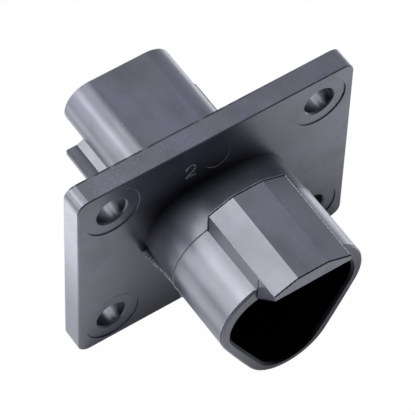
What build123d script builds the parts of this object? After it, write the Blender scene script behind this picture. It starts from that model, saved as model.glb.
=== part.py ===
"""Three-way sealed receptacle with a four-hole mounting flange.

Sizes are in millimetres. The origin is the middle of the flange's rear face, on the mating
axis. +Z is up and the mating end looks towards -Y. Stations along the mating axis are counted
forwards from the flange's rear face, so a station is minus the y coordinate.
"""
from build123d import *

import os
from math import radians, sqrt, tan
from typing import NamedTuple


class Outline(NamedTuple):
    """A triangle standing on its point, with round corners and slightly bulging sides."""

    corner_x: float
    corner_z: float
    corner_r: float
    apex_z: float
    apex_r: float
    side_r: float


# Flange
flange_width = 44.25
flange_height = 34.7
flange_thickness = 3.4
flange_corner_r = 1.8
flange_edge_chamfer = 0.15
screw_spacing_x = 33.32
screw_spacing_z = 24.64
screw_hole_d = 4.5
screw_hole_lead = 0.25
screw_seat_d = 8.6
screw_seat_depth = 0.15
ejector_mark_d = 3.8
ejector_mark_depth = 0.1
ejector_mark_z = 12.2
weld_gap = 0.08

# Housing, from the mating rim to the wire end
shell = Outline(corner_x=3.93, corner_z=1.0, corner_r=7.5, apex_z=-7.23, apex_r=7.1, side_r=200.0)
cavity = Outline(corner_x=4.45, corner_z=0.5, corner_r=5.38, apex_z=-7.9, apex_r=5.15, side_r=200.0)
rear_body = Outline(corner_x=4.68, corner_z=1.4, corner_r=4.03, apex_z=-6.77, apex_r=3.72, side_r=40.0)
parting_station = 10.2
rim_station = 21.8
floor_station = 7.0
rear_end_station = -21.05
neck_step = 0.1
rim_edge_r = 0.3
rim_lead = 0.35
rear_edge_chamfer = 0.15

# Hood over the top of the shroud, with the keyway inside it
hood_tip_station = 25.7
hood_half_width = 6.15
hood_shoulder_z = 11.65
hood_crown_half_width = 2.4
hood_crown_z = 13.1
hood_draft = 0.3
hood_edge_r = 0.2
hood_lip = 2.25
hood_cut_z = 6.45
keyway_half_width = 4.7
keyway_ceiling = 2.5
keyway_back_wall = 1.5

# Clip rails on both sides of the rear body
rail_end_station = -17.4
rail_shoulder_x = 8.96
rail_shoulder_slope = 29.0
rail_ledge_z = -2.04
rail_fin_x = 10.78
rail_fin_land = 0.7
rail_fin_slope = 0.8
rail_fin_corner_r = 0.25

# Contacts
contact_pitch = 8.4
contact_row_z = 1.4
contact_web = 1.6
contact_bore_d = 3.1
pin_d = 1.58
pin_passage_gap = 0.16
pin_tip_station = 14.7
pin_tip_r = 0.45
contact_collar_d = 2.9
contact_collar_length = 1.2
contact_neck_d = 2.1
contact_neck_length = 4.8
contact_barrel_d = 2.6
contact_barrel_length = 5.2
contact_wire_bore_d = 1.75
contact_sight_hole_d = 0.8
contact_finger_d = 2.3
contact_finger_width = 1.2
contact_finger_length = 1.0
contact_finger_gap = 0.1
contact_finger_root = 0.2

# Wedge lock
wedge_plate_thickness = 1.6
wedge_plate_margin = 3.1
wedge_edge_chamfer = 0.3
wedge_side_r = 60.0
wedge_stem_flat = 2.1
wedge_stem_length = 7.5
wedge_stem_corner_r = 0.5
wedge_gap = 0.12
wedge_slot_width = 3.2
wedge_slot_height = 1.3
wedge_slot_depth = 1.1

# Wire seal
rear_wall = 1.2
seal_chamber_depth = 8.5
seal_thickness = 6.8
seal_gap = 0.1
seal_groove = 0.4
seal_rib_length = 1.3
seal_rib_count = 3
seal_wire_d = 2.2
seal_mouth_d = 3.2
seal_mouth_depth = 0.7

# Places worked out from the sizes above
contact_low_z = contact_row_z - contact_pitch * sqrt(3) / 2
contact_middle_z = (2 * contact_row_z + contact_low_z) / 3
contact_places = [(-contact_pitch / 2, contact_row_z), (contact_pitch / 2, contact_row_z),
                  (0, contact_low_z)]
web_back_station = floor_station - contact_web
collar_back_station = web_back_station - contact_collar_length
seal_floor_station = rear_end_station + seal_chamber_depth


def station(distance):
    """The plane across the mating axis at this station, looking towards the mating end."""
    return Plane.XZ.offset(distance)


def prism(sketch, start, end):
    """The sketch, extruded along the mating axis from one station to the other."""
    return extrude(station(start) * sketch, amount=end - start)


def rod(place, diameter, start, end):
    """A round bar along the mating axis, with its middle at this place across it."""
    return prism(Pos(*place) * Circle(diameter / 2), start, end)


def funnel(place, diameter, end_diameter, start, end):
    """A round taper along the mating axis, from one diameter at its start to the other at its end."""
    cone = Cone(diameter / 2, end_diameter / 2, end - start, align=(Align.CENTER, Align.CENTER, Align.MIN))
    return station(start) * Pos(*place) * cone


def end_edges(solid, towards):
    """The edges of the solid's end face, the mating end's with -1 and the wire end's with +1."""
    return solid.faces().sort_by(Axis.Y)[0 if towards < 0 else -1].edges()


def rounded_triangle(outline, inset=0.0):
    """The outline's face, drawn parallel to it by the inset."""
    corner = Vector(outline.corner_x, outline.corner_z)
    apex = Vector(0, outline.apex_z)
    to_corner = outline.side_r - outline.corner_r
    to_apex = outline.side_r - outline.apex_r
    chord = (apex - corner).length
    along = (apex - corner) / chord
    run = (to_corner**2 - to_apex**2 + chord**2) / (2 * chord)
    side_centre = corner + along * run + Vector(along.Y, -along.X) * sqrt(to_corner**2 - run**2)
    side_r = outline.side_r - inset
    corner_r = outline.corner_r - inset
    apex_r = outline.apex_r - inset
    first = (corner - side_centre).normalized()
    last = (apex - side_centre).normalized()
    top = corner + Vector(0, corner_r)
    corner_middle = corner + (first + Vector(0, 1)).normalized() * corner_r
    side_start = side_centre + first * side_r
    side_middle = side_centre + (first + last).normalized() * side_r
    side_end = side_centre + last * side_r
    right = [
        ThreePointArc(top, corner_middle, side_start),
        ThreePointArc(side_start, side_middle, side_end),
    ]
    left = [mirror(edge, about=Plane.YZ) for edge in right]
    bottom = ThreePointArc(side_end, apex - Vector(0, apex_r), Vector(-side_end.X, side_end.Y))
    return make_face(Curve() + right + left + bottom + Line(top, Vector(-top.X, top.Y)))


def both_sides(solid):
    """The solid and its mirror image across the upright middle plane."""
    return solid + mirror(solid, about=Plane.YZ)


def hood_profile(shrink):
    """The hood's section: upright sides, two sloping facets and a flat crown."""
    base_z = shell.corner_z
    points = [
        (-hood_half_width + shrink / 4, base_z),
        (-hood_half_width + shrink / 4, hood_shoulder_z - shrink),
        (-hood_crown_half_width, hood_crown_z - shrink),
        (hood_crown_half_width, hood_crown_z - shrink),
        (hood_half_width - shrink / 4, hood_shoulder_z - shrink),
        (hood_half_width - shrink / 4, base_z),
    ]
    return make_face(Polyline(*points, close=True))


def hood():
    """The hood, drawn in towards its tip and cut away obliquely in front of the rim."""
    block = loft([station(parting_station) * hood_profile(0),
                  station(hood_tip_station) * hood_profile(hood_draft)])
    shoulders = [edge for edge in block.edges() if edge.length > (hood_tip_station - parting_station) * 0.99
                 and abs(edge.center().X) > hood_crown_half_width * 1.1 and edge.center().Z > hood_cut_z]
    block = fillet(shoulders, hood_edge_r)
    lip_z = hood_crown_z - hood_draft - hood_lip
    below = hood_tip_station + 1
    cutter = Plane.YZ * make_face(Polyline(
        (-rim_station, shell.apex_z), (-rim_station, hood_cut_z), (-hood_tip_station, lip_z),
        (-below, lip_z), (-below, shell.apex_z), close=True))
    return block - extrude(cutter, amount=flange_width / 2, both=True)


def rail_profile(grow=0.0):
    """The right-hand rail's section: a sloping shoulder, a level ledge and a fin that slopes in below."""
    root_x = rear_body.corner_x
    shoulder_x = rail_shoulder_x + grow
    fin_x = rail_fin_x + grow
    ledge_z = rail_ledge_z + grow
    fin_low_z = rail_ledge_z - rail_fin_land - grow
    points = [
        (root_x, ledge_z + (shoulder_x - root_x) * tan(radians(rail_shoulder_slope))),
        (shoulder_x, ledge_z),
        (fin_x, ledge_z),
        (fin_x, fin_low_z),
        (fin_x - rail_fin_slope, fin_low_z - rail_fin_slope),
        (root_x, fin_low_z - rail_fin_slope),
    ]
    return make_face(Polyline(*points, close=True))


def rails():
    """Both rails, each with a rounded corner on its fin at the wire end."""
    rail = prism(rail_profile(), rail_end_station, flange_thickness)
    tip = [edge for edge in rail.edges().filter_by(Axis.Z)
           if edge.center().X > rail_fin_x - 0.01 and edge.center().Y > -rail_end_station - 0.01]
    return both_sides(fillet(tip, rail_fin_corner_r))


def stem_profile(grow=0.0):
    """The triangle between the contacts, with its flats towards them."""
    flat = wedge_stem_flat + grow
    triangle = RegularPolygon(2 * flat, 3, rotation=90)
    return Pos(0, contact_middle_z) * fillet(triangle.vertices(), wedge_stem_corner_r + grow)


def contact_fingers(place):
    """Two small fingers, above and below, that keep the contact's front collar from moving back."""
    start = collar_back_station - contact_finger_gap - contact_finger_length
    end = collar_back_station - contact_finger_gap
    height = contact_bore_d + 2 * contact_finger_root
    block = prism(Pos(*place) * Rectangle(contact_finger_width, height), start, end)
    return block - rod(place, contact_finger_d, start, end)


def receptacle_housing():
    """The one-piece moulding: shroud, hood, neck, core, rear body and rails."""
    shroud = prism(rounded_triangle(shell), parting_station, rim_station)
    shroud = fillet(end_edges(shroud, -1), rim_edge_r)
    neck = prism(rounded_triangle(shell, neck_step), flange_thickness, parting_station)
    rear = prism(rounded_triangle(rear_body), rear_end_station, flange_thickness)
    rear = chamfer(end_edges(rear, 1), rear_edge_chamfer)
    body = shroud + neck + rear + rails() + hood()
    body -= prism(rounded_triangle(cavity), floor_station, rim_station)
    body -= extrude(station(rim_station) * rounded_triangle(cavity, -rim_lead), amount=-rim_lead, taper=45)
    keyway_top = hood_crown_z - keyway_ceiling - hood_draft
    keyway = Pos(0, keyway_top / 2) * Rectangle(2 * keyway_half_width, keyway_top)
    body -= prism(keyway, parting_station + keyway_back_wall, hood_tip_station)
    body -= prism(rounded_triangle(rear_body, rear_wall), rear_end_station, seal_floor_station)
    for place in contact_places:
        body -= rod(place, contact_bore_d, seal_floor_station, web_back_station)
        body += contact_fingers(place)
        body -= rod(place, pin_d + 2 * pin_passage_gap, web_back_station, floor_station)
    pocket_depth = wedge_stem_length + wedge_gap
    body -= prism(stem_profile(wedge_gap), floor_station - pocket_depth, floor_station)
    return body


def mounting_flange():
    """The plate that is welded behind the neck, with its four screw holes."""
    plate = prism(RectangleRounded(flange_width, flange_height, flange_corner_r), 0, flange_thickness)
    plate = chamfer(end_edges(plate, -1), flange_edge_chamfer)
    opening = rounded_triangle(rear_body, -weld_gap)
    opening += both_sides(rail_profile(weld_gap))
    plate -= prism(opening, 0, flange_thickness)
    mark_station = flange_thickness - ejector_mark_depth
    plate -= rod((0, ejector_mark_z), ejector_mark_d, mark_station, flange_thickness)
    for x in (-screw_spacing_x / 2, screw_spacing_x / 2):
        for z in (-screw_spacing_z / 2, screw_spacing_z / 2):
            plate -= screw_hole((x, z))
    return plate


def screw_hole(place):
    """What is cut for one screw: the hole, a lead-in at its mouth and a shallow seat for the head."""
    seat_station = flange_thickness - screw_seat_depth
    hole = rod(place, screw_hole_d, 0, flange_thickness)
    seat = rod(place, screw_seat_d, seat_station, flange_thickness)
    mouth_d = screw_hole_d + 2 * screw_hole_lead
    return hole + seat + funnel(place, screw_hole_d, mouth_d, seat_station - screw_hole_lead, seat_station)


def wedge_lock():
    """The lock that is pushed in over the pins: a plate on the floor and a stem between the contacts."""
    plate_outline = Outline(contact_pitch / 2, contact_row_z, wedge_plate_margin,
                            contact_low_z, wedge_plate_margin, wedge_side_r)
    front = floor_station + wedge_plate_thickness
    lock = prism(rounded_triangle(plate_outline), floor_station, front)
    lock = chamfer(end_edges(lock, -1), wedge_edge_chamfer)
    lock += prism(stem_profile(), floor_station - wedge_stem_length, floor_station)
    for place in contact_places:
        lock -= rod(place, pin_d + 2 * pin_passage_gap, floor_station, front)
    slot = Pos(0, contact_middle_z) * SlotOverall(wedge_slot_width, wedge_slot_height)
    return lock - prism(slot, front - wedge_slot_depth, front)


def contact_pin(place):
    """A turned contact: pin, collar against the web, neck, second collar and a barrel for the wire."""
    pin_r = pin_d / 2
    collar_r = contact_collar_d / 2
    neck_r = contact_neck_d / 2
    barrel_r = contact_barrel_d / 2
    neck_front = collar_back_station
    neck_back = neck_front - contact_neck_length
    barrel_front = neck_back - contact_collar_length
    barrel_end = barrel_front - contact_barrel_length
    wire_r = contact_wire_bore_d / 2
    profile = Polyline(
        (0, pin_tip_station), (pin_r - pin_tip_r, pin_tip_station), (pin_r, pin_tip_station - pin_tip_r),
        (pin_r, web_back_station), (collar_r, web_back_station), (collar_r, neck_front),
        (neck_r, neck_front), (neck_r, neck_back), (collar_r, neck_back), (collar_r, barrel_front),
        (barrel_r, barrel_front), (barrel_r, barrel_end), (wire_r, barrel_end), (wire_r, barrel_front),
        (0, barrel_front), close=True)
    turned = revolve(make_face(profile), Axis.Y)
    contact = Pos(place[0], 0, place[1]) * Rot(0, 0, 180) * turned
    sight_station = barrel_front - contact_sight_hole_d
    sight = Pos(place[0], -sight_station, place[1]) * Cylinder(
        contact_sight_hole_d / 2, barrel_r + 1, align=(Align.CENTER, Align.CENTER, Align.MIN))
    return contact - sight


def wire_seal():
    """The soft seal in the wire end: a ribbed block with a sleeve-like hole for each wire."""
    outer = rounded_triangle(rear_body, rear_wall + seal_gap)
    core = rounded_triangle(rear_body, rear_wall + seal_gap + seal_groove)
    back = seal_floor_station - seal_thickness
    seal = prism(core, back, seal_floor_station)
    step = (seal_thickness - seal_rib_length) / (seal_rib_count - 1)
    for number in range(seal_rib_count):
        rib_start = back + number * step
        seal += prism(outer, rib_start, rib_start + seal_rib_length)
    for place in contact_places:
        seal -= rod(place, seal_wire_d, back, seal_floor_station)
        seal -= funnel(place, seal_mouth_d, seal_wire_d, back, back + seal_mouth_depth)
    return seal


def main():
    """Build each piece and write it to its own file."""
    pieces = {
        "receptacle_housing": receptacle_housing(),
        "mounting_flange": mounting_flange(),
        "wedge_lock": wedge_lock(),
        "wire_seal": wire_seal(),
    }
    for number, place in enumerate(contact_places, start=1):
        pieces[f"contact_pin_{number}"] = contact_pin(place)
    os.makedirs("parts", exist_ok=True)
    for name, piece in pieces.items():
        export_step(piece, f"parts/{name}.step")


main()
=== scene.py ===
"""Looks of the flange mount receptacle: its finishes, the marks of its mould, its seal, its light.

Everything is in metres, in the part's own frame: -Y is the mating end, +Z is up. Sizes are written
in millimetres and multiplied by MM when a mesh or a lamp is made. A station is a distance along the
mating axis from the flange's rear face towards the mating end.
"""

import math

import bmesh
import bpy
import numpy as np
from mathutils import Matrix, Vector


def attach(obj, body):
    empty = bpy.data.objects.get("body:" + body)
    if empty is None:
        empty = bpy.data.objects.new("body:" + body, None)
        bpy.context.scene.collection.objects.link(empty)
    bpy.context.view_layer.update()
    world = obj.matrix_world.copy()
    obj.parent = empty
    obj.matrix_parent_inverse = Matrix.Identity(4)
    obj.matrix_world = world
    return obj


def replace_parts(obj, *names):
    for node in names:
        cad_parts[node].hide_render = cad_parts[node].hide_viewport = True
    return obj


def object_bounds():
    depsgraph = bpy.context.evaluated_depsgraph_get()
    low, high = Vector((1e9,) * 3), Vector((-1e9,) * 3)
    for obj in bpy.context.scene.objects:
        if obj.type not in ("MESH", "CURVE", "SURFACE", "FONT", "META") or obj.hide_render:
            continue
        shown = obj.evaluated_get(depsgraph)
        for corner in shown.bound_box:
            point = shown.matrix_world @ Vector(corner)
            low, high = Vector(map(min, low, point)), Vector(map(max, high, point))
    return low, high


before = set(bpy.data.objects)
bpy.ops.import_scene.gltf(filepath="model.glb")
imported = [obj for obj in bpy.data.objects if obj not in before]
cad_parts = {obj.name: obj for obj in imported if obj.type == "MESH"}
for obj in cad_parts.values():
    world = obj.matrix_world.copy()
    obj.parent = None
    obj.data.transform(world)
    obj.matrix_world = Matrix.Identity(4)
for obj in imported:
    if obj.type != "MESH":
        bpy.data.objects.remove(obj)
cad_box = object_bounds()

MM = 0.001

# The photograph's frame, and the camera's place in the part's frame
PHOTO_SIDE = 415
SENSOR_WIDTH = 36.0
CAMERA_PLACE = Vector((-156.79, -215.65, 372.39)) * MM
CAMERA_FORWARD = Vector((0.34209, 0.46665, -0.81560))
CAMERA_DOWN = Vector((-0.44509, -0.68396, -0.57801))
CAMERA_NEAR, CAMERA_FAR = 0.01, 10.0
FOCAL_PIXELS = 3354.0
CENTRE_OFFSET_PIXELS = 0.5

# Levels of the tent, where 1 is white
LAMP_COLOUR = (0.94, 0.955, 1.06)
EYE_WHITE = (1.0, 1.0, 1.0)
GLOSS_WHITE = (0.9, 0.925, 1.07)
WORLD_LIGHT = 0.45
WORLD_EYE_SHARE = 1.0
WORLD_GLOSS_SHARE = 0.75
FRONT_DARKNESS = 0.85
FLOOR_COLOUR = (0.9, 0.9, 0.9)
FLOOR_EYE_SHARE = 0.985
FLOOR_GLOSS_SHARE = 0.33
FLOOR_HALF = 1600.0
FLOOR_DROP = 0.3
TABLE_DROP = 0.2

# Lamps: azimuth from the part's left towards its back, height above the horizon, both in
# degrees, and radiance
LAMP_DISTANCE = 900.0
LAMP_WIDTH = 500.0
LAMP_HEIGHT = 400.0
LAMPS = {
    "left_low_box": (16, 6, 3.3),
    "left_box": (15, 28, 2.3),
    "left_back_box": (28, 48, 5.2),
    "back_box": (42, 30, 1.7),
    "overhead_box": (75, 70, 4.0),
}
# The lit parts of the table: left, right, front and back, and radiance
LIT_TABLE = {
    "left_table": (-110, -30, -10, 80, 1.25),
    "right_table": (42, 110, -30, 70, 0.8),
}

# Sizes of the part that its fine marks follow. The two rounded triangles, of the shroud and of
# the rear body, are their upper corner's centre x and z and its radius, the bottom point's centre
# z and its radius, and the side's radius
SHELL = (3.93, 1.0, 7.5, -7.23, 7.1, 200.0)
REAR_BODY = (4.68, 1.4, 4.03, -6.77, 3.72, 40.0)
NECK_STEP = 0.1
SCREW_SPACING_X = 33.32
SCREW_SPACING_Z = 24.64
SCREW_HOLE_R = 2.25
RIM_STATION = 21.8
FLANGE_STATION = 3.4
PARTING_STATION = 10.2
RIDGE_ANGLE = 192.0
HOOD_TIP_STATION = 25.7
HOOD_HALF_WIDTH = 6.15
HOOD_SHOULDER_Z = 11.65
HOOD_CROWN_HALF_WIDTH = 2.4
HOOD_CROWN_Z = 13.1
HOOD_DRAFT = 0.3
HOOD_CUT_Z = 6.45
HOOD_LIP = 2.25
CONTACT_PLACES = ((-4.2, 1.4), (4.2, 1.4), (0.0, -5.875))

# Ramps: the value at which each starts and ends, and what it gives before and after. First the
# world's dark front and the floor's gloss
FRONT_FADE = (-0.75, -0.3, 1.0, 0.0)
# The floor's gloss: painted light in its reflection at the right, painted shadow in it far in front
# and by the flange
FLOOR_RIGHT_GLOW = (21 * MM, 34 * MM, 0.0, 0.5)
FLOOR_FRONT_DIM = (-34 * MM, -24 * MM, 0.15, 1.0)
FLOOR_FLANGE_DIM = (-12 * MM, -5 * MM, 1.0, 0.25)
# The housing's painted shade, which also takes its gloss away: at the neck's foot, inside the mouth
# and on the rim's lower right
NECK_FOOT_START = (3.2, 3.3, 0.0, 1.0)
NECK_FOOT_FADE = (3.4, 5.6, 0.85, 0.0)
MOUTH_START = (4.0, 5.0, 0.0, 1.0)
MOUTH_INWARD = (-1.5 * MM, -0.5 * MM, 1.0, 0.0)
RIM_START = (20.5, 21.0, 0.0, 1.0)
RIM_FACING = (-0.9, -0.8, 1.0, 0.0)
RIM_END = (22.5, 23.5, 1.0, 0.0)
RIM_LOW_RIGHT = (-2.0, 9.0, 0.25, 0.8)
LOW_RIGHT = (0.5, 0.866)
# The flange's painted shade beside the neck and in its holes, which also takes its gloss away, the
# dull tears on its back edge and the dust on its top edge
FACE_GAP = (0.3, 6.5, 0.9, 0.0)
FACE_HEIGHT = (3.0, 9.0, 0.25, 1.0)
FACE_SIDE = (-1.0, 6.0, 1.0, 0.2)
FACE_START = (3.2, 3.3, 0.0, 1.0)
HOLE_MARGIN = 0.02
HOLE_STREAK_X = 0.2
HOLE_STREAK = (0.3, 1.6, 0.1, 0.85)
BACK_EDGE_TORN = (0.4, 0.5, 0.2, 0.75)
BACK_EDGE_START = (0.15, 0.35, 1.0, 0.0)
BACK_EDGE_TOP = (17.0, 17.1, 0.0, 1.0)
BACK_EDGE_SIDE = (4.0, 12.0, 1.0, 0.0)
TOP_EDGE = (17.1, 17.3, 0.0, 1.0)
TOP_EDGE_SIDE = (-16.0, 2.0, 0.6, 0.12)

# Noises: clouds per metre and finer layers. Specks: cells per metre and the speck's size as a
# share of a cell. Stretches: each axis times its number
CLOUD = (260.0, 4.0)
FLOW = (900.0, 4.0)
FLOW_STRETCH = (1.0, 0.3, 1.0)
BLOTCH = (120.0, 6.0)
SMEAR = (300.0, 3.0)
SMEAR_STRETCH = (1.0, 0.4, 1.0)
GRAIN = (6500.0, 2.0)
BACK_EDGE_TEARS = (700.0, 3.0)
FINE_DUST = (5200.0, 0.30)
COARSE_DUST = (1900.0, 0.16)
COARSE_DUST_SHARE = 0.6
EDGE_DUST = (4200.0, 0.32)
EDGE_DUST_SHARE = 0.3
FLASH_TEARS = (4200.0, 4.0)
CREASE_PATCHES = (3000.0, 3.0)
SILICONE_BLOOM = (1200.0, 5.0)
SILICONE_GRAIN = (5000.0, 3.0)
SILICONE_CHALK = (3600.0, 0.2)
SILICONE_CHALK_SHARE = 0.05
NICKEL_CLOUD = (700.0, 4.0)
TURNING_RINGS = 1800.0
TURNING_WOBBLE = 1.5

# Black plastic: ramps of its clouds, and colours of its body and of its tint
BODY_CLOUDS = (0.35, 0.7, 0.0, 1.0)
BODY_BLOTCHES = (0.52, 0.58, 0.0, 0.8)
SMEAR_DULLNESS = (0.45, 0.75, 0.0, 0.2)
SKIN_ROUGHNESS = (0.3, 0.7, 0.28, 0.36)
DARK_BODY = (0.006, 0.0075, 0.018)
CLOUDY_BODY = (0.013, 0.015, 0.029)
BLOTCHED_BODY = (0.019, 0.023, 0.046)
# The blacker body of dull smears and tears and of painted shade
DULL_AND_PAINTED_SHADE_BODY = (0.001, 0.001, 0.0015)
DUST_GREY = (0.30, 0.31, 0.34)
GLOSSY_TINT = (1.0, 1.0, 1.0)
# No tint of gloss, in dull smears and tears and in painted shade
DULL_AND_PAINTED_SHADE_TINT = (0.0, 0.0, 0.0)

# Reliefs of the finishes: depth in millimetres and strength
GRAIN_RELIEF = (0.004, 0.5)
FLOW_RELIEF = (0.012, 0.5)
FLASH_RELIEF = (0.02, 0.6)
SILICONE_RELIEF = (0.008, 0.5)
NICKEL_RELIEF = (0.004, 0.4)

# Numbers of each finish that are the same all over
BLACK_SKIN = {"IOR": 1.5, "Specular IOR Level": 1.0, "Coat Weight": 1.0, "Coat Roughness": 0.28,
              "Coat IOR": 1.5}
FLASH_SKIN = {"Specular IOR Level": 1.0, "Coat Weight": 1.0, "Coat Roughness": 0.25}
CREASE_SKIN = {"Roughness": 0.9, "Specular IOR Level": 0.15}
SILICONE_SKIN = {"Subsurface Weight": 0.25, "Subsurface Scale": 0.4 * MM}
NICKEL_SKIN = {"Metallic": 1.0}

# Meshes: points this near are merged, edges this short go, and a tube has this many sides
MERGE_DISTANCE = 0.002
SHORTEST_EDGE = 0.0005
TUBE_SIDES = 8
RIDGE_SIDES = 10
BURR_SIDES = 6

# Burrs on the flange's round marks: centre x and z, radius, first and last angle in degrees,
# and half thickness
BURRS = (
    (0.0, 12.2, 1.9, -150, 30, 0.045),
    (-16.66, 12.32, 4.3, -30, 62, 0.04),
    (16.66, 12.32, 4.3, -20, 75, 0.03),
    (-16.66, -12.32, 4.3, 20, 110, 0.03),
)
# The torn ridge along the neck's side: stations and how far it stands out there
RIDGE_STATIONS = (3.4, 3.8, 4.6, 6.4, 7.6, 10.1, 10.3, 11.9, 12.1, 12.4, 12.6)
RIDGE_REACHES = (0.40, 0.50, 0.42, 0.36, 0.16, 0.10, 0.06, 0.06, 0.18, 0.18, 0.02)
RIDGE_START = FLANGE_STATION + 0.03
RIDGE_END = 12.6
# Where the painted shade beside the ridge ends
CREASE_END = 11.6

# The soft seal in the wire end
SEAL_FRONT_STATION = -12.55
SEAL_BACK_STATION = -19.35
SEAL_END_GAP = 0.15
SEAL_INSET = 1.3
SEAL_GROOVE = 0.4
SEAL_CLEARANCE = 0.02
SEAL_RIBS = 3
SEAL_EDGE_ROUND = 0.12
SECTOR_SAMPLES = 60
SPLIT_ANGLE = 30.0
WIRE_HOLE_R = 1.1
WIRE_MOUTH_R = 1.6
WIRE_FOLD = 0.12
MOUTH_RISE = 0.14
# Its end faces: shares of the way from a hole's mouth to the edge, and how deep the face is there
FACE_SHARES = (0.0, 0.12, 0.3, 0.5, 0.75, 1.0)
FACE_DEPTHS = (-MOUTH_RISE, -0.15, 0.05, 0.15, 0.1, 0.0)


# Camera and light

def make_camera():
    """The camera, at the photograph's viewing angle."""
    data = bpy.data.cameras.new("camera")
    data.sensor_width = SENSOR_WIDTH
    data.lens = FOCAL_PIXELS / PHOTO_SIDE * SENSOR_WIDTH
    data.shift_x = -CENTRE_OFFSET_PIXELS / PHOTO_SIDE
    data.shift_y = CENTRE_OFFSET_PIXELS / PHOTO_SIDE
    data.clip_start, data.clip_end = CAMERA_NEAR, CAMERA_FAR
    camera = bpy.data.objects.new("camera", data)
    bpy.context.collection.objects.link(camera)
    back = -CAMERA_FORWARD.normalized()
    right = (-CAMERA_DOWN).cross(back).normalized()
    up = back.cross(right)
    turn = Matrix((right, up, back)).transposed().to_4x4()
    camera.matrix_world = Matrix.Translation(CAMERA_PLACE) @ turn
    bpy.context.scene.camera = camera


def area_lamp(name, width, length, place, turn, radiance):
    """A flat lamp, placed in metres, that glows with this radiance and that no camera sees."""
    data = bpy.data.lights.new(name, "AREA")
    data.shape = "RECTANGLE"
    data.size, data.size_y = width * MM, length * MM
    data.color = LAMP_COLOUR
    data.energy = radiance * math.pi * data.size * data.size_y
    lamp = bpy.data.objects.new(name, data)
    lamp.location = place
    lamp.rotation_euler = turn
    lamp.visible_camera = False
    bpy.context.collection.objects.link(lamp)


def soft_box(name, azimuth, height, radiance):
    """A flat soft box that looks at the part from this direction."""
    turn, rise = math.radians(azimuth), math.radians(height)
    towards = Vector((-math.cos(rise) * math.cos(turn), math.cos(rise) * math.sin(turn),
                      math.sin(rise)))
    area_lamp(name, LAMP_WIDTH, LAMP_HEIGHT, towards * LAMP_DISTANCE * MM,
              towards.to_track_quat("Z", "Y").to_euler(), radiance)


def lit_table(name, left, right, front, back, radiance):
    """A lit part of the table beside the part: a glow on the floor that its glossy sides show."""
    middle = ((left + right) / 2 * MM, (front + back) / 2 * MM, cad_box[0].z - TABLE_DROP * MM)
    face_up = (math.pi, 0.0, 0.0)
    area_lamp(name, right - left, back - front, middle, face_up, radiance)


def path_share(tree, eye_share, gloss_share):
    """The eye's share on camera rays, the gloss share on mirrored and refracted rays, or 0."""
    path = tree.nodes.new("ShaderNodeLightPath")
    rays = (("Is Camera Ray", eye_share), ("Is Glossy Ray", gloss_share),
            ("Is Transmission Ray", gloss_share))
    shares = [combine(tree, "MULTIPLY", path.outputs[ray], share) for ray, share in rays]
    return combine(tree, "MAXIMUM", *shares)


def tent_white(tree):
    """White as the eye sees the tent, and the cooler white that the gloss sees in it."""
    eye = tree.nodes.new("ShaderNodeLightPath").outputs["Is Camera Ray"]
    return blend(tree, eye, GLOSS_WHITE, EYE_WHITE)


def mixed_output(tree, output, share, first, second):
    """Ends the tree in a mix of two shaders, by the share of the second."""
    mix = tree.nodes.new("ShaderNodeMixShader")
    tree.links.new(share, mix.inputs["Fac"])
    tree.links.new(first.outputs[0], mix.inputs[1])
    tree.links.new(second.outputs[0], mix.inputs[2])
    tree.links.new(mix.outputs[0], tree.nodes.new(output).inputs["Surface"])


def make_world():
    """A world that lights the part softly, white to the eye and the gloss but for a dark front.

    The front fades in where a direction points ahead of the part, to the tent's open side.
    """
    world = bpy.data.worlds.new("tent")
    bpy.context.scene.world = world
    world.use_nodes = True
    tree = world.node_tree
    tree.nodes.clear()
    ahead = ramp(tree, numbers_of(tree, coordinates(tree, "Generated"))[1], *FRONT_FADE)
    bright = combine(tree, "SUBTRACT", 1.0, combine(tree, "MULTIPLY", ahead, FRONT_DARKNESS))
    light = tree.nodes.new("ShaderNodeBackground")
    light.inputs["Color"].default_value = (*LAMP_COLOUR, 1.0)
    tree.links.new(combine(tree, "MULTIPLY", bright, WORLD_LIGHT), light.inputs["Strength"])
    white = tree.nodes.new("ShaderNodeBackground")
    tree.links.new(tent_white(tree), white.inputs["Color"])
    gloss_share = combine(tree, "MULTIPLY", bright, WORLD_GLOSS_SHARE)
    mixed_output(tree, "ShaderNodeOutputWorld", path_share(tree, WORLD_EYE_SHARE, gloss_share),
                 light, white)


def floor_gloss(tree):
    """The floor's share in the gloss, a painted reflection: painted light at the right, painted
    shadow far in front and by the flange.
    """
    x, y, _ = numbers_of(tree, coordinates(tree, "Object"))
    sides = combine(tree, "ADD", ramp(tree, x, *FLOOR_RIGHT_GLOW), FLOOR_GLOSS_SHARE)
    beneath = combine(tree, "MINIMUM", ramp(tree, y, *FLOOR_FRONT_DIM),
                      ramp(tree, y, *FLOOR_FLANGE_DIM))
    return combine(tree, "MULTIPLY", sides, beneath)


def make_floor():
    """A plain white floor just under the part. The eye sees it nearly as bright as the backdrop."""
    half, lowest = FLOOR_HALF * MM, cad_box[0].z - FLOOR_DROP * MM
    mesh = bpy.data.meshes.new("floor")
    mesh.from_pydata([(-half, -half, lowest), (half, -half, lowest), (half, half, lowest),
                      (-half, half, lowest)], [], [(0, 1, 2, 3)])
    floor = bpy.data.objects.new("floor", mesh)
    bpy.context.collection.objects.link(floor)
    material = bpy.data.materials.new("white_floor")
    material.use_nodes = True
    tree = material.node_tree
    tree.nodes.clear()
    card = tree.nodes.new("ShaderNodeBsdfDiffuse")
    card.inputs["Color"].default_value = (*FLOOR_COLOUR, 1.0)
    glow = tree.nodes.new("ShaderNodeEmission")
    glow.inputs["Strength"].default_value = 1.0
    tree.links.new(tent_white(tree), glow.inputs["Color"])
    mixed_output(tree, "ShaderNodeOutputMaterial",
                 path_share(tree, FLOOR_EYE_SHARE, floor_gloss(tree)), card, glow)
    mesh.materials.append(material)


# Building blocks of the finishes

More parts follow.
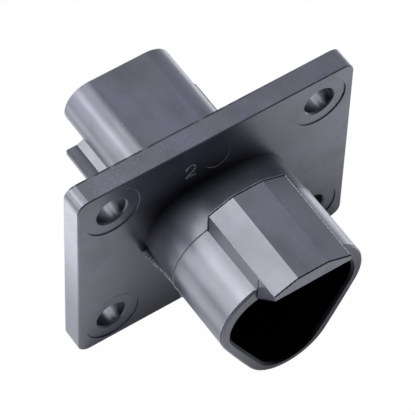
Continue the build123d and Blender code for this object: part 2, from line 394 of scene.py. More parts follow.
def new_finish(name, skin):
    """A material with one shader, whose numbers that are the same all over come from its skin.

    Its patterns follow the place on the piece.
    """
    material = bpy.data.materials.new(name)
    material.use_nodes = True
    tree = material.node_tree
    shader = tree.nodes["Principled BSDF"]
    for socket, number in skin.items():
        shader.inputs[socket].default_value = number
    return material, tree, shader, coordinates(tree, "Object")


def coordinates(tree, output):
    """The surface's own coordinates of this kind."""
    return tree.nodes.new("ShaderNodeTexCoord").outputs[output]


def numbers_of(tree, vector):
    """The three numbers of a vector."""
    node = tree.nodes.new("ShaderNodeSeparateXYZ")
    tree.links.new(vector, node.inputs[0])
    return node.outputs


def part_places(tree, place):
    """The place as three numbers in millimetres: x, station and z."""
    return [combine(tree, "DIVIDE", number, unit)
            for number, unit in zip(numbers_of(tree, place), (MM, -MM, MM))]


def mapped(tree, place, socket, numbers):
    """The place after a mapping: moved for the socket Location, or stretched for Scale."""
    node = tree.nodes.new("ShaderNodeMapping")
    node.inputs[socket].default_value = numbers
    tree.links.new(place, node.inputs["Vector"])
    return node.outputs[0]


def noise(tree, place, scale, detail):
    """Cloudy noise, with this many clouds per metre."""
    node = tree.nodes.new("ShaderNodeTexNoise")
    node.inputs["Scale"].default_value = scale
    node.inputs["Detail"].default_value = detail
    tree.links.new(place, node.inputs["Vector"])
    return node.outputs["Fac"]


def ramp(tree, value, low, high, at_low, at_high):
    """A straight ramp: at_low where the value is low or less, at_high where it is high or more."""
    node = tree.nodes.new("ShaderNodeMapRange")
    for socket, number in (("From Min", low), ("From Max", high), ("To Min", at_low),
                           ("To Max", at_high)):
        node.inputs[socket].default_value = number
    tree.links.new(value, node.inputs["Value"])
    return node.outputs[0]


def combine(tree, operation, first, *others):
    """Numbers combined one after another, each a socket or a plain number, or one on its own."""
    for other in others or (0.0,):
        node = tree.nodes.new("ShaderNodeMath")
        node.operation = operation
        for socket, value in zip(node.inputs, (first, other)):
            if isinstance(value, float):
                socket.default_value = value
            else:
                tree.links.new(value, socket)
        first = node.outputs[0]
    return first


def square_sum(tree, first, second):
    """The squares of two numbers added together."""
    return combine(tree, "ADD", combine(tree, "MULTIPLY", first, first),
                   combine(tree, "MULTIPLY", second, second))


def blend(tree, share, first, second):
    """A colour between two, by the share of the second. Each is a socket or a plain colour."""
    node = tree.nodes.new("ShaderNodeMix")
    node.data_type = "RGBA"
    tree.links.new(share, node.inputs["Factor"])
    for socket, value in ((node.inputs[6], first), (node.inputs[7], second)):
        if isinstance(value, tuple):
            socket.default_value = (*value, 1.0)
        else:
            tree.links.new(value, socket)
    return node.outputs[2]


def relief(tree, height, depth, strength, below=None):
    """Fine relief of this depth in millimetres, laid over the relief below it."""
    node = tree.nodes.new("ShaderNodeBump")
    node.inputs["Strength"].default_value = strength
    node.inputs["Distance"].default_value = depth * MM
    tree.links.new(height, node.inputs["Height"])
    if below is not None:
        tree.links.new(below, node.inputs["Normal"])
    return node.outputs[0]


def specks(tree, place, per_metre, size, share):
    """Round specks of this size, as a share of a cell's width, in this share of the cells.

    A speck is 1 out to half its size from its middle and falls to 0 at its size.
    """
    cells = tree.nodes.new("ShaderNodeTexVoronoi")
    cells.inputs["Scale"].default_value = per_metre
    tree.links.new(place, cells.inputs["Vector"])
    near = ramp(tree, cells.outputs["Distance"], size / 2, size, 1.0, 0.0)
    colour = tree.nodes.new("ShaderNodeSeparateColor")
    tree.links.new(cells.outputs["Color"], colour.inputs[0])
    chosen = combine(tree, "GREATER_THAN", colour.outputs[0], 1.0 - share)
    return combine(tree, "MULTIPLY", near, chosen)


def facing_out(tree, place):
    """How far a surface faces away from the mating axis.

    It is the normal and the place across the axis, multiplied number by number and added up.
    """
    across = tree.nodes.new("ShaderNodeVectorMath")
    across.operation = "MULTIPLY"
    across.inputs[1].default_value = (1.0, 0.0, 1.0)
    tree.links.new(place, across.inputs[0])
    facing = tree.nodes.new("ShaderNodeVectorMath")
    facing.operation = "DOT_PRODUCT"
    tree.links.new(coordinates(tree, "Normal"), facing.inputs[0])
    tree.links.new(across.outputs[0], facing.inputs[1])
    return facing.outputs["Value"]


# Finishes

def edge_specks(tree, place):
    """Dense fine specks on the flange's top edge, most of all at its left end."""
    x, _, z = part_places(tree, place)
    return combine(tree, "MULTIPLY", specks(tree, place, *EDGE_DUST, EDGE_DUST_SHARE),
                   ramp(tree, z, *TOP_EDGE), ramp(tree, x, *TOP_EDGE_SIDE))


def painted_shade_housing(tree, place):
    """Painted shade on the housing, which also takes its gloss away: at the neck's foot, inside the
    mouth and on the rim's lower right.
    """
    x, station, z = part_places(tree, place)
    foot = combine(tree, "MULTIPLY", ramp(tree, station, *NECK_FOOT_START),
                   ramp(tree, station, *NECK_FOOT_FADE))
    mouth = combine(tree, "MULTIPLY", ramp(tree, station, *MOUTH_START),
                    ramp(tree, facing_out(tree, place), *MOUTH_INWARD))
    turned = numbers_of(tree, coordinates(tree, "Normal"))[1]
    low_right = combine(tree, "SUBTRACT", combine(tree, "MULTIPLY", x, LOW_RIGHT[0]),
                        combine(tree, "MULTIPLY", z, LOW_RIGHT[1]))
    rim = combine(tree, "MULTIPLY", ramp(tree, station, *RIM_START),
                  ramp(tree, turned, *RIM_FACING), ramp(tree, station, *RIM_END),
                  ramp(tree, low_right, *RIM_LOW_RIGHT))
    return combine(tree, "MAXIMUM", foot, rim, mouth)


def flange_painted_shade_and_tears(tree, place):
    """Painted shade on the flange, which also takes its gloss away: on its face beside the neck and
    in its holes. Its torn back edge is dull.

    The face's painted shade goes by its gap to the neck's upper corners, most of all at the upper
    left. A hole keeps a streak of gloss near its middle, where its painted shade is faint.
    """
    x, station, z = part_places(tree, place)
    corner_x, corner_z, corner_r = SHELL[:3]
    aside = combine(tree, "SUBTRACT", combine(tree, "ABSOLUTE", x), corner_x)
    above = combine(tree, "SUBTRACT", z, corner_z)
    square = square_sum(tree, combine(tree, "MAXIMUM", aside, 0.0),
                        combine(tree, "MAXIMUM", above, 0.0))
    gap = combine(tree, "SUBTRACT", combine(tree, "SQRT", square), corner_r)
    face = combine(tree, "MULTIPLY", ramp(tree, gap, *FACE_GAP), ramp(tree, z, *FACE_HEIGHT),
                   ramp(tree, x, *FACE_SIDE), ramp(tree, station, *FACE_START))
    from_hole_x, from_hole_z = (
        combine(tree, "SUBTRACT", number,
                combine(tree, "MULTIPLY", combine(tree, "SIGN", number), spacing / 2))
        for number, spacing in ((x, SCREW_SPACING_X), (z, SCREW_SPACING_Z)))
    in_hole = combine(tree, "LESS_THAN", square_sum(tree, from_hole_x, from_hole_z),
                      (SCREW_HOLE_R + HOLE_MARGIN) ** 2)
    from_streak = combine(tree, "ABSOLUTE", combine(tree, "SUBTRACT", from_hole_x, HOLE_STREAK_X))
    hole = combine(tree, "MULTIPLY", in_hole, ramp(tree, from_streak, *HOLE_STREAK))
    torn = ramp(tree, noise(tree, place, *BACK_EDGE_TEARS), *BACK_EDGE_TORN)
    back_edge = combine(tree, "MULTIPLY", ramp(tree, station, *BACK_EDGE_START),
                        ramp(tree, z, *BACK_EDGE_TOP), ramp(tree, x, *BACK_EDGE_SIDE), torn)
    return combine(tree, "MAXIMUM", face, back_edge, hole)


def black_moulding(name, speck_share, painted_shade_and_tear_places=None, speck_places=None):
    """Black moulded plastic: a clear skin over a dark body, with cloudy gloss and fine grain.

    The body has pale clouds, blotches and dust. Smears and the places given, of painted shade and
    of tears, have less skin, no tint of gloss and a blacker body.
    """
    material, tree, shader, place = new_finish(name, BLACK_SKIN)
    cloud = noise(tree, place, *CLOUD)
    flow = noise(tree, mapped(tree, place, "Scale", FLOW_STRETCH), *FLOW)
    dust = combine(tree, "MAXIMUM", specks(tree, place, *FINE_DUST, speck_share),
                   specks(tree, place, *COARSE_DUST, speck_share * COARSE_DUST_SHARE))
    if speck_places is not None:
        dust = combine(tree, "MAXIMUM", dust, speck_places(tree, place))
    body = blend(tree, ramp(tree, cloud, *BODY_CLOUDS), DARK_BODY, CLOUDY_BODY)
    blotch = ramp(tree, noise(tree, place, *BLOTCH), *BODY_BLOTCHES)
    body = blend(tree, blotch, body, BLOTCHED_BODY)
    body = blend(tree, dust, body, DUST_GREY)
    if painted_shade_and_tear_places is not None:
        streaks = noise(tree, mapped(tree, place, "Scale", SMEAR_STRETCH), *SMEAR)
        smear = ramp(tree, streaks, *SMEAR_DULLNESS)
        # The dull share: dull smears and tears, and painted shade
        dull = combine(tree, "MAXIMUM", smear, painted_shade_and_tear_places(tree, place))
        body = blend(tree, dull, body, DULL_AND_PAINTED_SHADE_BODY)
        tree.links.new(combine(tree, "SUBTRACT", 1.0, dull), shader.inputs["Coat Weight"])
        tree.links.new(blend(tree, dull, GLOSSY_TINT, DULL_AND_PAINTED_SHADE_TINT), shader.inputs["Specular Tint"])
    tree.links.new(body, shader.inputs["Base Color"])
    tree.links.new(ramp(tree, cloud, *SKIN_ROUGHNESS), shader.inputs["Roughness"])
    skin = relief(tree, noise(tree, place, *GRAIN), *GRAIN_RELIEF,
                  relief(tree, flow, *FLOW_RELIEF))
    tree.links.new(skin, shader.inputs["Normal"])
    tree.links.new(skin, shader.inputs["Coat Normal"])
    return material


def flash_plastic():
    """Torn thin flash: chalky dark grey, paler in patches."""
    patches, roughness = (0.4, 0.7, 0.0, 1.0), (0.3, 0.7, 0.3, 0.55)
    dark, pale = (0.04, 0.042, 0.05), (0.22, 0.225, 0.245)
    material, tree, shader, place = new_finish("mould_flash", FLASH_SKIN)
    torn = noise(tree, place, *FLASH_TEARS)
    tree.links.new(blend(tree, ramp(tree, torn, *patches), dark, pale), shader.inputs["Base Color"])
    tree.links.new(ramp(tree, torn, *roughness), shader.inputs["Roughness"])
    tree.links.new(relief(tree, torn, *FLASH_RELIEF), shader.inputs["Normal"])
    return material


def crease_painted_shade():
    """Painted shade in the crease beside a parting line: dull and nearly black."""
    patches = (0.4, 0.65, 0.0, 1.0)
    darkest, dark = (0.004, 0.004, 0.006), (0.02, 0.02, 0.025)
    material, tree, shader, place = new_finish("painted_crease_shade", CREASE_SKIN)
    patchy = ramp(tree, noise(tree, place, *CREASE_PATCHES), *patches)
    tree.links.new(blend(tree, patchy, darkest, dark), shader.inputs["Base Color"])
    return material


def seal_silicone():
    """Soft orange silicone: dull, a little see-through at its thin edges, with a fine bloom."""
    deep, pale, chalky = (0.50, 0.12, 0.02), (0.64, 0.19, 0.04), (0.75, 0.5, 0.35)
    roughness = (0.3, 0.7, 0.48, 0.62)
    material, tree, shader, place = new_finish("orange_silicone", SILICONE_SKIN)
    bloom = noise(tree, place, *SILICONE_BLOOM)
    chalk = specks(tree, place, *SILICONE_CHALK, SILICONE_CHALK_SHARE)
    body = blend(tree, chalk, blend(tree, bloom, deep, pale), chalky)
    tree.links.new(body, shader.inputs["Base Color"])
    tree.links.new(ramp(tree, bloom, *roughness), shader.inputs["Roughness"])
    tree.links.new(relief(tree, noise(tree, place, *SILICONE_GRAIN), *SILICONE_RELIEF),
                   shader.inputs["Normal"])
    return material


def nickel_contact(name, place_x, place_z):
    """Nickel plating with fine turning rings round the contact's own axis and a cloudy polish."""
    dim, bright = (0.60, 0.57, 0.51), (0.72, 0.69, 0.63)
    roughness = (0.3, 0.7, 0.22, 0.36)
    material, tree, shader, place = new_finish(name, NICKEL_SKIN)
    cloud = noise(tree, place, *NICKEL_CLOUD)
    tree.links.new(blend(tree, cloud, dim, bright), shader.inputs["Base Color"])
    tree.links.new(ramp(tree, cloud, *roughness), shader.inputs["Roughness"])
    rings = tree.nodes.new("ShaderNodeTexWave")
    rings.bands_direction = "Y"
    rings.inputs["Scale"].default_value = TURNING_RINGS
    rings.inputs["Distortion"].default_value = TURNING_WOBBLE
    own_axis = mapped(tree, place, "Location", (-place_x * MM, 0.0, -place_z * MM))
    tree.links.new(own_axis, rings.inputs["Vector"])
    tree.links.new(relief(tree, rings.outputs["Fac"], *NICKEL_RELIEF), shader.inputs["Normal"])
    return material


def dress(node, material):
    """Gives a node of the part this finish all over."""
    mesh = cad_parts[node].data
    mesh.materials.clear()
    mesh.materials.append(material)


# Building blocks of the shapes

def ways(angle):
    """Directions across the mating axis at these angles: their cosines and sines."""
    return np.stack((np.cos(angle), np.sin(angle)), axis=-1)


def full_turn(sides):
    """Even angles once round a circle."""
    return np.linspace(0.0, 2 * math.pi, sides, endpoint=False)


def outline_run(outline, inset, run):
    """Points and outward directions on a rounded triangle that runs parallel to its outline.

    The inset is how far inside the outline it runs. The run goes from 0 at the middle of the top
    edge to 1 at the bottom point, in equal steps of length, and its negative goes down the left
    side. The right half is half the straight top, then the corner's arc, the long bulging side's
    arc and the bottom point's arc, each centre plus radius times the direction.
    """
    corner_x, corner_z, corner_r, apex_z, apex_r, side_r = outline
    corner, apex = np.array((corner_x, corner_z)), np.array((0.0, apex_z))
    to_corner, to_apex = side_r - corner_r, side_r - apex_r
    chord = np.linalg.norm(apex - corner)
    along = (apex - corner) / chord
    reach = (to_corner**2 - to_apex**2 + chord**2) / (2 * chord)
    aside = np.array((along[1], -along[0])) * math.sqrt(to_corner**2 - reach**2)
    side = corner + along * reach + aside
    first = math.atan2(*(corner - side)[::-1])
    last = math.atan2(*(apex - side)[::-1])
    arcs = ((corner, corner_r - inset, math.pi / 2, first), (side, side_r - inset, first, last),
            (apex, apex_r - inset, last, -math.pi / 2))
    ends = np.cumsum([corner_x] + [radius * (start - end) for _, radius, start, end in arcs])
    gone = np.abs(run) * ends[-1]
    point = np.stack((gone, np.full_like(gone, corner_z + corner_r - inset)), axis=-1)
    outward = np.stack((np.zeros_like(gone), np.ones_like(gone)), axis=-1)
    for (centre, radius, start, _), before in zip(arcs, ends):
        direction = ways(start - (gone - before) / radius)
        here = (gone > before)[..., None]
        point = np.where(here, centre + radius * direction, point)
        outward = np.where(here, direction, outward)
    flip = np.where(run < 0, -1.0, 1.0)
    point[..., 0] *= flip
    outward[..., 0] *= flip
    return point, outward


def at_stations(across, station):
    """Points in space from places across the mating axis and stations along it."""
    across, station = np.broadcast_arrays(across, np.asarray(station, float)[..., None])
    return np.stack((across[..., 0], -station[..., 0], across[..., 1]), axis=-1)


def grid_faces(rows, columns, close_columns, first):
    """Quads of a grid of points, row after row, that may join its last column to its first."""
    row, column = np.meshgrid(np.arange(rows - 1),
                              np.arange(columns if close_columns else columns - 1), indexing="ij")
    beside = (column + 1) % columns
    quads = np.stack((row * columns + column, row * columns + beside,
                      (row + 1) * columns + beside, (row + 1) * columns + column), axis=-1)
    return (quads.reshape(-1, 4) + first).tolist()


def make_piece(name, sheets, material):
    """A piece of grids of points in millimetres, with doubled points merged, faces turned outwards.

    Each sheet is its points, rows by columns, and whether its last column joins its first.
    """
    points, faces = [], []
    for sheet, closed in sheets:
        rows, columns = sheet.shape[:2]
        faces += grid_faces(rows, columns, closed, sum(len(p) for p in points))
        points.append(sheet.reshape(-1, 3))
    mesh = bpy.data.meshes.new(name)
    mesh.from_pydata((np.concatenate(points) * MM).tolist(), [], faces)
    tidy = bmesh.new()
    tidy.from_mesh(mesh)
    bmesh.ops.remove_doubles(tidy, verts=tidy.verts, dist=MERGE_DISTANCE * MM)
    bmesh.ops.dissolve_degenerate(tidy, edges=tidy.edges, dist=SHORTEST_EDGE * MM)
    bmesh.ops.recalc_face_normals(tidy, faces=tidy.faces)
    tidy.to_mesh(mesh)
    tidy.free()
    mesh.polygons.foreach_set("use_smooth", np.ones(len(mesh.polygons), bool))
    mesh.materials.append(material)
    piece = bpy.data.objects.new(name, mesh)
    bpy.context.collection.objects.link(piece)
    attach(piece, "root")
    return piece


def ragged(way, seed):
    """An uneven number between about -1 and 1 along the way: sines of unrelated lengths added."""
    return (0.4 * np.sin(5.3 * way + seed) + 0.3 * np.sin(13.7 * way + 2.1 * seed)
            + 0.3 * np.sin(31.9 * way + 3.7 * seed) * np.sin(8.1 * way + seed))


def even_path(corners, step):
    """Points at even steps along straight runs between corners, their outward ways, way gone."""
    lengths = np.concatenate(([0.0], np.cumsum(np.linalg.norm(np.diff(corners, axis=0), axis=1))))
    way = np.linspace(0.0, lengths[-1], max(8, int(lengths[-1] / step)))
    path = np.stack((np.interp(way, lengths, corners[:, 0]),
                     np.interp(way, lengths, corners[:, 1])), axis=-1)
    run = np.gradient(path, axis=0)
    run /= np.linalg.norm(run, axis=1, keepdims=True)
    return path, np.stack((-run[:, 1], run[:, 0]), axis=-1), way


def bead(path, outward, radius, station, sides=TUBE_SIDES):
    """A round bead: at each point of the path a circle of this radius, outward and lengthwise."""
    turn = full_turn(sides)
    out = radius[:, None] * np.cos(turn)
    ahead = station[:, None] + radius[:, None] * np.sin(turn)
    return closed_ends(at_stations(path[:, None] + outward[:, None] * out[..., None], ahead))


def closed_ends(tube):
    """A sheet: the tube's grid with its end rings drawn together to their middles."""
    start, end = tube[:1].mean(axis=1, keepdims=True), tube[-1:].mean(axis=1, keepdims=True)
    sides = tube.shape[1]
    return np.concatenate((np.repeat(start, sides, axis=1), tube,
                           np.repeat(end, sides, axis=1))), True


def hood_section():
    """The hood's section at its rear edge: from the left wall's foot over the crown to the right
    wall's foot.
    """
    corner_x, corner_z, corner_r = SHELL[:3]
    foot_z = corner_z + math.sqrt(corner_r**2 - (HOOD_HALF_WIDTH - corner_x) ** 2)
    left = [(-HOOD_HALF_WIDTH, foot_z), (-HOOD_HALF_WIDTH, HOOD_SHOULDER_Z),
            (-HOOD_CROWN_HALF_WIDTH, HOOD_CROWN_Z)]
    return np.array(left + [(-x, z) for x, z in left[::-1]])


def hood_front_section():
    """The hood's section at its front edge: both facets and the crown, drawn in by the draft."""
    shrink = np.array((HOOD_DRAFT / 4, 0.0, 0.0, -HOOD_DRAFT / 4))
    return hood_section()[1:-1] + np.stack((shrink, np.full(4, -HOOD_DRAFT)), axis=-1)


def shell_section(inset):
    """The shroud's outline from the hood's right wall's foot round the bottom to the left one."""
    run = np.concatenate((np.linspace(0.0, 1.0, 400), np.linspace(-1.0, 0.0, 400)[1:]))
    point = outline_run(SHELL, inset, run)[0]
    return point[(np.abs(point[:, 0]) >= HOOD_HALF_WIDTH) | (point[:, 1] < 0)]


def side_place():
    """Where the shroud's left outline faces the ridge's way: the point, its outward way and the
    way along the outline.
    """
    points, normals = outline_run(SHELL, 0.0, np.linspace(-1.0, 0.0, 800))
    found = int(np.argmax(normals @ ways(math.radians(RIDGE_ANGLE))))
    outward = normals[found]
    return points[found], outward, np.array((-outward[1], outward[0]))


def ridge_reach(station, seed):
    """How far the torn ridge stands out: straight runs between places, times an uneven number."""
    reach = np.interp(station, RIDGE_STATIONS, RIDGE_REACHES)
    return reach * (1.0 + 0.3 * ragged(station * 2.2, seed))


def straight_tube(start, end, thick):
    """A thin round tube between two places, each x, station and z: circles across the line."""
    start, end = np.array(start), np.array(end)
    line = (end - start) / np.linalg.norm(end - start)
    across = np.cross(line, (1.0, 0.0, 0.0))
    across /= np.linalg.norm(across)
    third = np.cross(line, across)
    turn = full_turn(TUBE_SIDES)[:, None]
    share = np.linspace(0, 1, 40)[:, None, None]
    circle = thick * (np.cos(turn) * across + np.sin(turn) * third)
    return closed_ends((start + (end - start) * share + circle) * (1.0, -1.0, 1.0))


def side_tube(station, out, up, half_width, half_height, side):
    """A tube along the neck's side: at each station an ellipse, set off from the side's point.

    The ellipse is its middle plus half its width times the cosine outward plus half its height
    times the sine along the outline, and it is mirrored for the right side.
    """
    turn = full_turn(RIDGE_SIDES)[:, None]
    foot, outward, along = side_place()
    stepped = foot - outward * (NECK_STEP * (station < PARTING_STATION)[:, None])
    middle = stepped + outward * out[:, None] - along * up[:, None]
    across = (middle[:, None] + outward * half_width[:, None, None] * np.cos(turn)
              + along * half_height[:, None, None] * np.sin(turn))
    across[..., 0] *= -side
    return closed_ends(at_stations(across, station[:, None]))


# Pieces

def seam_flash(material):
    """The raised line round the shroud and over the hood's rear edge, where the mould halves met.

    Each run is a bead whose radius swells unevenly, with lumps where a second uneven number is
    large, and whose station wavers.
    """
    sheets = []
    for corners, size, seed in ((hood_section(), 0.07, 0.3), (shell_section(0.0), 0.045, 1.9)):
        path, outward, way = even_path(corners, 0.12)
        lumps = np.clip(ragged(way * 2.3, seed + 4.0) - 0.4, 0, 1)
        radius = size * (1.0 + 0.35 * ragged(way * 1.3, seed) + 2.0 * lumps)
        station = PARTING_STATION + 0.03 + 0.03 * ragged(way * 0.8, seed + 2.0)
        sheets.append(bead(path, outward, radius, station))
    make_piece("seam_flash", sheets, material)


def hood_lines(material):
    """The fine raised lines on the hood's two long shoulders, from the seam to the front edge.

    Each is a tube that follows the shoulder inwards with the draft, its circles across the axis.
    """
    station = np.linspace(PARTING_STATION + 0.2, HOOD_TIP_STATION - 0.25, 160)
    shrink = HOOD_DRAFT * (station - PARTING_STATION) / (HOOD_TIP_STATION - PARTING_STATION)
    sheets = []
    for side, seed in ((-1, 0.6), (1, 3.1)):
        middle = np.stack((side * (HOOD_HALF_WIDTH - shrink / 4 - 0.04),
                           HOOD_SHOULDER_Z - shrink - 0.02), axis=-1)
        radius = 0.07 * (1.0 + 0.5 * ragged(station * 1.9, seed))
        across = middle[:, None] + radius[:, None, None] * ways(full_turn(TUBE_SIDES))
        sheets.append(closed_ends(at_stations(across, station[:, None])))
    make_piece("hood_lines", sheets, material)


def crease(name, corners, lift, station, width, seed, material):
    """Painted shade beside the seam: a thin dark band, a flat strip lifted off the surface, its
    edges uneven.
    """
    path, outward, way = even_path(corners, 0.15)
    middle = station + 0.02 * ragged(way, seed)
    half = width / 2 * (1.0 + 0.5 * ragged(way * 1.7, seed + 1.0))
    across = np.array((-1.0, -0.9, 0.9, 1.0, 0.9, -0.9))
    rise = np.array((0.0, 1.0, 1.0, 0.0, -1.0, -1.0)) * lift
    tube = at_stations(path[:, None] + outward[:, None] * rise[None, :, None],
                       middle[:, None] + half[:, None] * across)
    make_piece(name, [closed_ends(tube)], material)


def side_flash(name, side, seed, material):
    """The torn ridge along the neck's lower side, a tube that grows and shrinks with its reach."""
    station = np.linspace(RIDGE_START, RIDGE_END, 160)
    reach = ridge_reach(station, seed)
    sheet = side_tube(station, 0.55 * reach, 0 * reach, reach, 0.45 * reach, side)
    make_piece(name, [sheet], material)


def side_crease_shades(name, side, seed, material):
    """Painted shade above the torn ridge and along its edge: two thin dark round tubes."""
    station = np.linspace(RIDGE_START, CREASE_END, 150)
    reach = ridge_reach(station, seed)
    thin = np.interp(station, (FLANGE_STATION, 7.0, CREASE_END), (0.09, 0.06, 0.02))
    edge = slice(80)
    sheets = [side_tube(station, 0.05 + 0 * reach, 0.5 * reach + 0.03, thin, thin, side),
              side_tube(station[edge], 1.58 * reach[edge], 0.05 * reach[edge], thin[edge],
                        thin[edge], side)]
    make_piece(name, sheets, material)


def cut_crease_shades(material):
    """Painted shade on the hood's left wall, as dark lines: upright by the rim, and along its
    oblique cut.
    """
    wall = -HOOD_HALF_WIDTH + HOOD_DRAFT / 4
    upright, front = RIM_STATION + 0.1, HOOD_TIP_STATION - 0.1
    lip_z = HOOD_CROWN_Z - HOOD_DRAFT - HOOD_LIP
    top = (wall, upright, HOOD_SHOULDER_Z - 0.8)
    foot = (wall, upright, HOOD_CUT_Z + 0.1)
    tip = (wall, front, min(lip_z, HOOD_SHOULDER_Z - HOOD_DRAFT) - 0.05)
    make_piece("cut_crease_shades", [straight_tube(top, foot, 0.07), straight_tube(foot, tip, 0.05)],
               material)


def cavity_number(material):
    """A plain raised 2 on the flange's front face: a bead along its arc, its slant and its foot."""
    middle, half_width, height, bow_z = (-4.3, 12.3), 0.75, 2.3, 0.38
    bow = ways(np.radians(np.linspace(165, -25, 16))) * half_width + (0.0, bow_z)
    foot = [(-half_width, -height / 2), (half_width, -height / 2)]
    path, outward, way = even_path(np.concatenate((bow, foot)) + middle, 0.08)
    radius = 0.13 * (1 + 0.12 * ragged(way * 3, 0.7))
    sheet = bead(path, outward, radius, np.full(len(path), FLANGE_STATION + 0.01))
    make_piece("cavity_number", [sheet], material)


def mark_burrs(material):
    """The pale burrs on parts of the flange's round marks: thin beads along arcs.

    Each point of an arc is its centre plus its radius times the direction.
    """
    sheets = []
    for seed, (centre_x, centre_z, circle_r, start, end, size) in enumerate(BURRS):
        turn = np.radians(np.linspace(start, end, 60))
        outward = ways(turn)
        radius = size * (1.0 + 0.6 * ragged(turn * 2.3, seed + 0.4))
        path = np.array((centre_x, centre_z)) + circle_r * outward
        station = np.full(len(turn), FLANGE_STATION)
        sheets.append(bead(path, outward, radius, station, sides=BURR_SIDES))
    make_piece("mark_burrs", sheets, material)


def seal_sectors(middle):
    """The runs of the seal's outline that belong to each wire hole, left, right and bottom.

    The right one and the left one end where the outline is seen from the middle at the split
    angle below the horizon.
    """
    run = np.linspace(0, 1, 4 * SECTOR_SAMPLES)
    right = outline_run(REAR_BODY, 0.0, run)[0]
    below = -np.degrees(np.arctan2(right[:, 1] - middle[1], right[:, 0]))
    split = np.interp(SPLIT_ANGLE, below, run)
    return (-split, 0.0), (0.0, split), (split, 2.0 - split)


def round_run(run):
    """The run past the bottom point as the run down the left side that reaches the same place."""
    return np.where(run > 1.0, run - 2.0, run)


def seal_end(hole, rim, middle, station, inward):
    """One sector of an end face, and the directions from its hole's middle to its edge.

    The edge is the sector's rim and two spokes to the seal's middle. Straight lines run to it
    from the hole's mouth, and a collar stands round the hole.
    """
    spoke = np.linspace(0.0, 1.0, 14)[1:-1, None]
    edge = np.concatenate((rim, rim[-1] + (middle - rim[-1]) * spoke, middle[None],
                           middle + (rim[0] - middle) * spoke))
    direction = edge - hole
    direction /= np.linalg.norm(direction, axis=1, keepdims=True)
    mouth = hole + direction * WIRE_MOUTH_R
    share = np.array(FACE_SHARES)[:, None, None]
    sunk = station + inward * np.array(FACE_DEPTHS)[:, None]
    return (at_stations(mouth * (1 - share) + edge * share, sunk), True), direction


def seal_hole(hole, back, front, back_station, front_station):
    """The wall of a wire hole between its mouths: circles that swell at both ends, with folds.

    The radius is the hole's plus a falling exponential from each mouth, plus a low wave between
    them, and the circles' directions turn from the back mouth's to the front one's.
    """
    depth = np.linspace(0.0, 1.0, 41)[:, None]
    flare = np.exp(-depth * 9) + np.exp(-(1 - depth) * 9)
    wave = 0.5 - 0.5 * np.cos(depth * math.pi * 6)
    folds = WIRE_FOLD * wave * (1 - np.clip(flare * 1.5, 0, 1))
    radius = WIRE_HOLE_R + (WIRE_MOUTH_R - WIRE_HOLE_R) * np.clip(flare, 0, 1) + folds
    facing = back[None] * (1 - depth[..., None]) + front[None] * depth[..., None]
    facing /= np.linalg.norm(facing, axis=-1, keepdims=True)
    station = back_station + (front_station - back_station) * depth
    return at_stations(hole + facing * radius[..., None], station), True


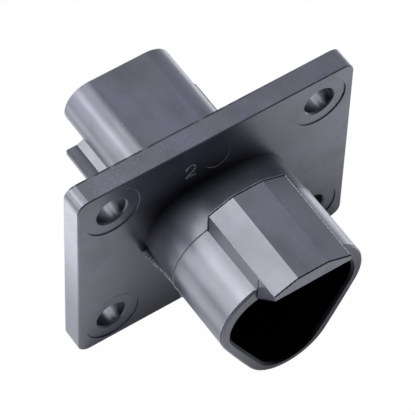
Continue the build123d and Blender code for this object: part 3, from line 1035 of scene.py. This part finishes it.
def soft_seal(material):
    """The ribbed silicone block: a sleeve with round ribs, three flared holes and two end faces.

    The sleeve is the outline moved inwards by the groove times a rounded wave along the block,
    and a little more at both ends. Each end face is cut into three sectors round the block's
    middle, one for each hole.
    """
    along = np.linspace(0.0, 1.0, 73)
    length = SEAL_FRONT_STATION - SEAL_BACK_STATION
    station = SEAL_BACK_STATION + SEAL_END_GAP + (length - 2 * SEAL_END_GAP) * along
    wave = 0.5 - 0.5 * np.cos(2 * math.pi * (SEAL_RIBS - 1) * along)
    inset = SEAL_INSET + SEAL_CLEARANCE + (SEAL_GROOVE - 2 * SEAL_CLEARANCE) * wave**0.7
    inset = inset + SEAL_EDGE_ROUND * (np.exp(-along * 30) + np.exp(-(1 - along) * 30))
    middle = np.array(CONTACT_PLACES).mean(axis=0)
    sectors = seal_sectors(middle)
    rounds = round_run(np.concatenate([
        np.linspace(start, end, SECTOR_SAMPLES, endpoint=False) for start, end in sectors]))
    sleeve = np.stack([outline_run(REAR_BODY, edge, rounds)[0] for edge in inset])
    sheets = [(at_stations(sleeve, station[:, None]), True)]
    for (start, end), place in zip(sectors, CONTACT_PLACES):
        hole = np.array(place)
        run = round_run(np.linspace(start, end, SECTOR_SAMPLES + 1))
        directions = []
        for end_face, inward in ((0, 1.0), (-1, -1.0)):
            rim = outline_run(REAR_BODY, inset[end_face], run)[0]
            sheet, direction = seal_end(hole, rim, middle, station[end_face], inward)
            sheets.append(sheet)
            directions.append(direction)
        sheets.append(seal_hole(hole, *directions, station[0] - MOUTH_RISE,
                                station[-1] + MOUTH_RISE))
    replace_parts(make_piece("silicone_seal", sheets, material), "wire_seal")


make_camera()
for lamp_name, lamp in LAMPS.items():
    soft_box(lamp_name, *lamp)
for table_name, table in LIT_TABLE.items():
    lit_table(table_name, *table)
make_world()
make_floor()

dress("receptacle_housing",
      black_moulding("black_housing", speck_share=0.005, painted_shade_and_tear_places=painted_shade_housing))
dress("mounting_flange",
      black_moulding("black_flange", speck_share=0.02, painted_shade_and_tear_places=flange_painted_shade_and_tears,
                     speck_places=edge_specks))
dress("wedge_lock", black_moulding("black_lock", speck_share=0.01))
for number, contact_place in enumerate(CONTACT_PLACES, start=1):
    dress(f"contact_pin_{number}", nickel_contact(f"nickel_contact_{number}", *contact_place))

torn_flash = flash_plastic()
painted_crease_shade = crease_painted_shade()
seam_flash(torn_flash)
hood_lines(torn_flash)
crease("hood_crease_shade", hood_section(), lift=0.02, station=PARTING_STATION + 0.2, width=0.17,
       seed=0.4, material=painted_crease_shade)
crease("shroud_crease_shade", shell_section(NECK_STEP), lift=0.03, station=PARTING_STATION - 0.1,
       width=0.17, seed=2.6, material=painted_crease_shade)
crease("hood_front_crease_shade", hood_front_section(), lift=0.02, station=HOOD_TIP_STATION - 0.14,
       width=0.24, seed=1.7, material=painted_crease_shade)
crease("rim_crease_shade", shell_section(0.0), lift=0.015, station=RIM_STATION - 0.3, width=0.12,
       seed=3.3, material=painted_crease_shade)
side_flash("left_side_flash", side=1, seed=0.8, material=torn_flash)
side_flash("right_side_flash", side=-1, seed=2.9, material=torn_flash)
side_crease_shades("left_side_crease_shades", side=1, seed=0.8, material=painted_crease_shade)
cut_crease_shades(painted_crease_shade)
cavity_number(torn_flash)
mark_burrs(torn_flash)
soft_seal(seal_silicone())

bpy.context.scene.view_settings.view_transform = "Standard"
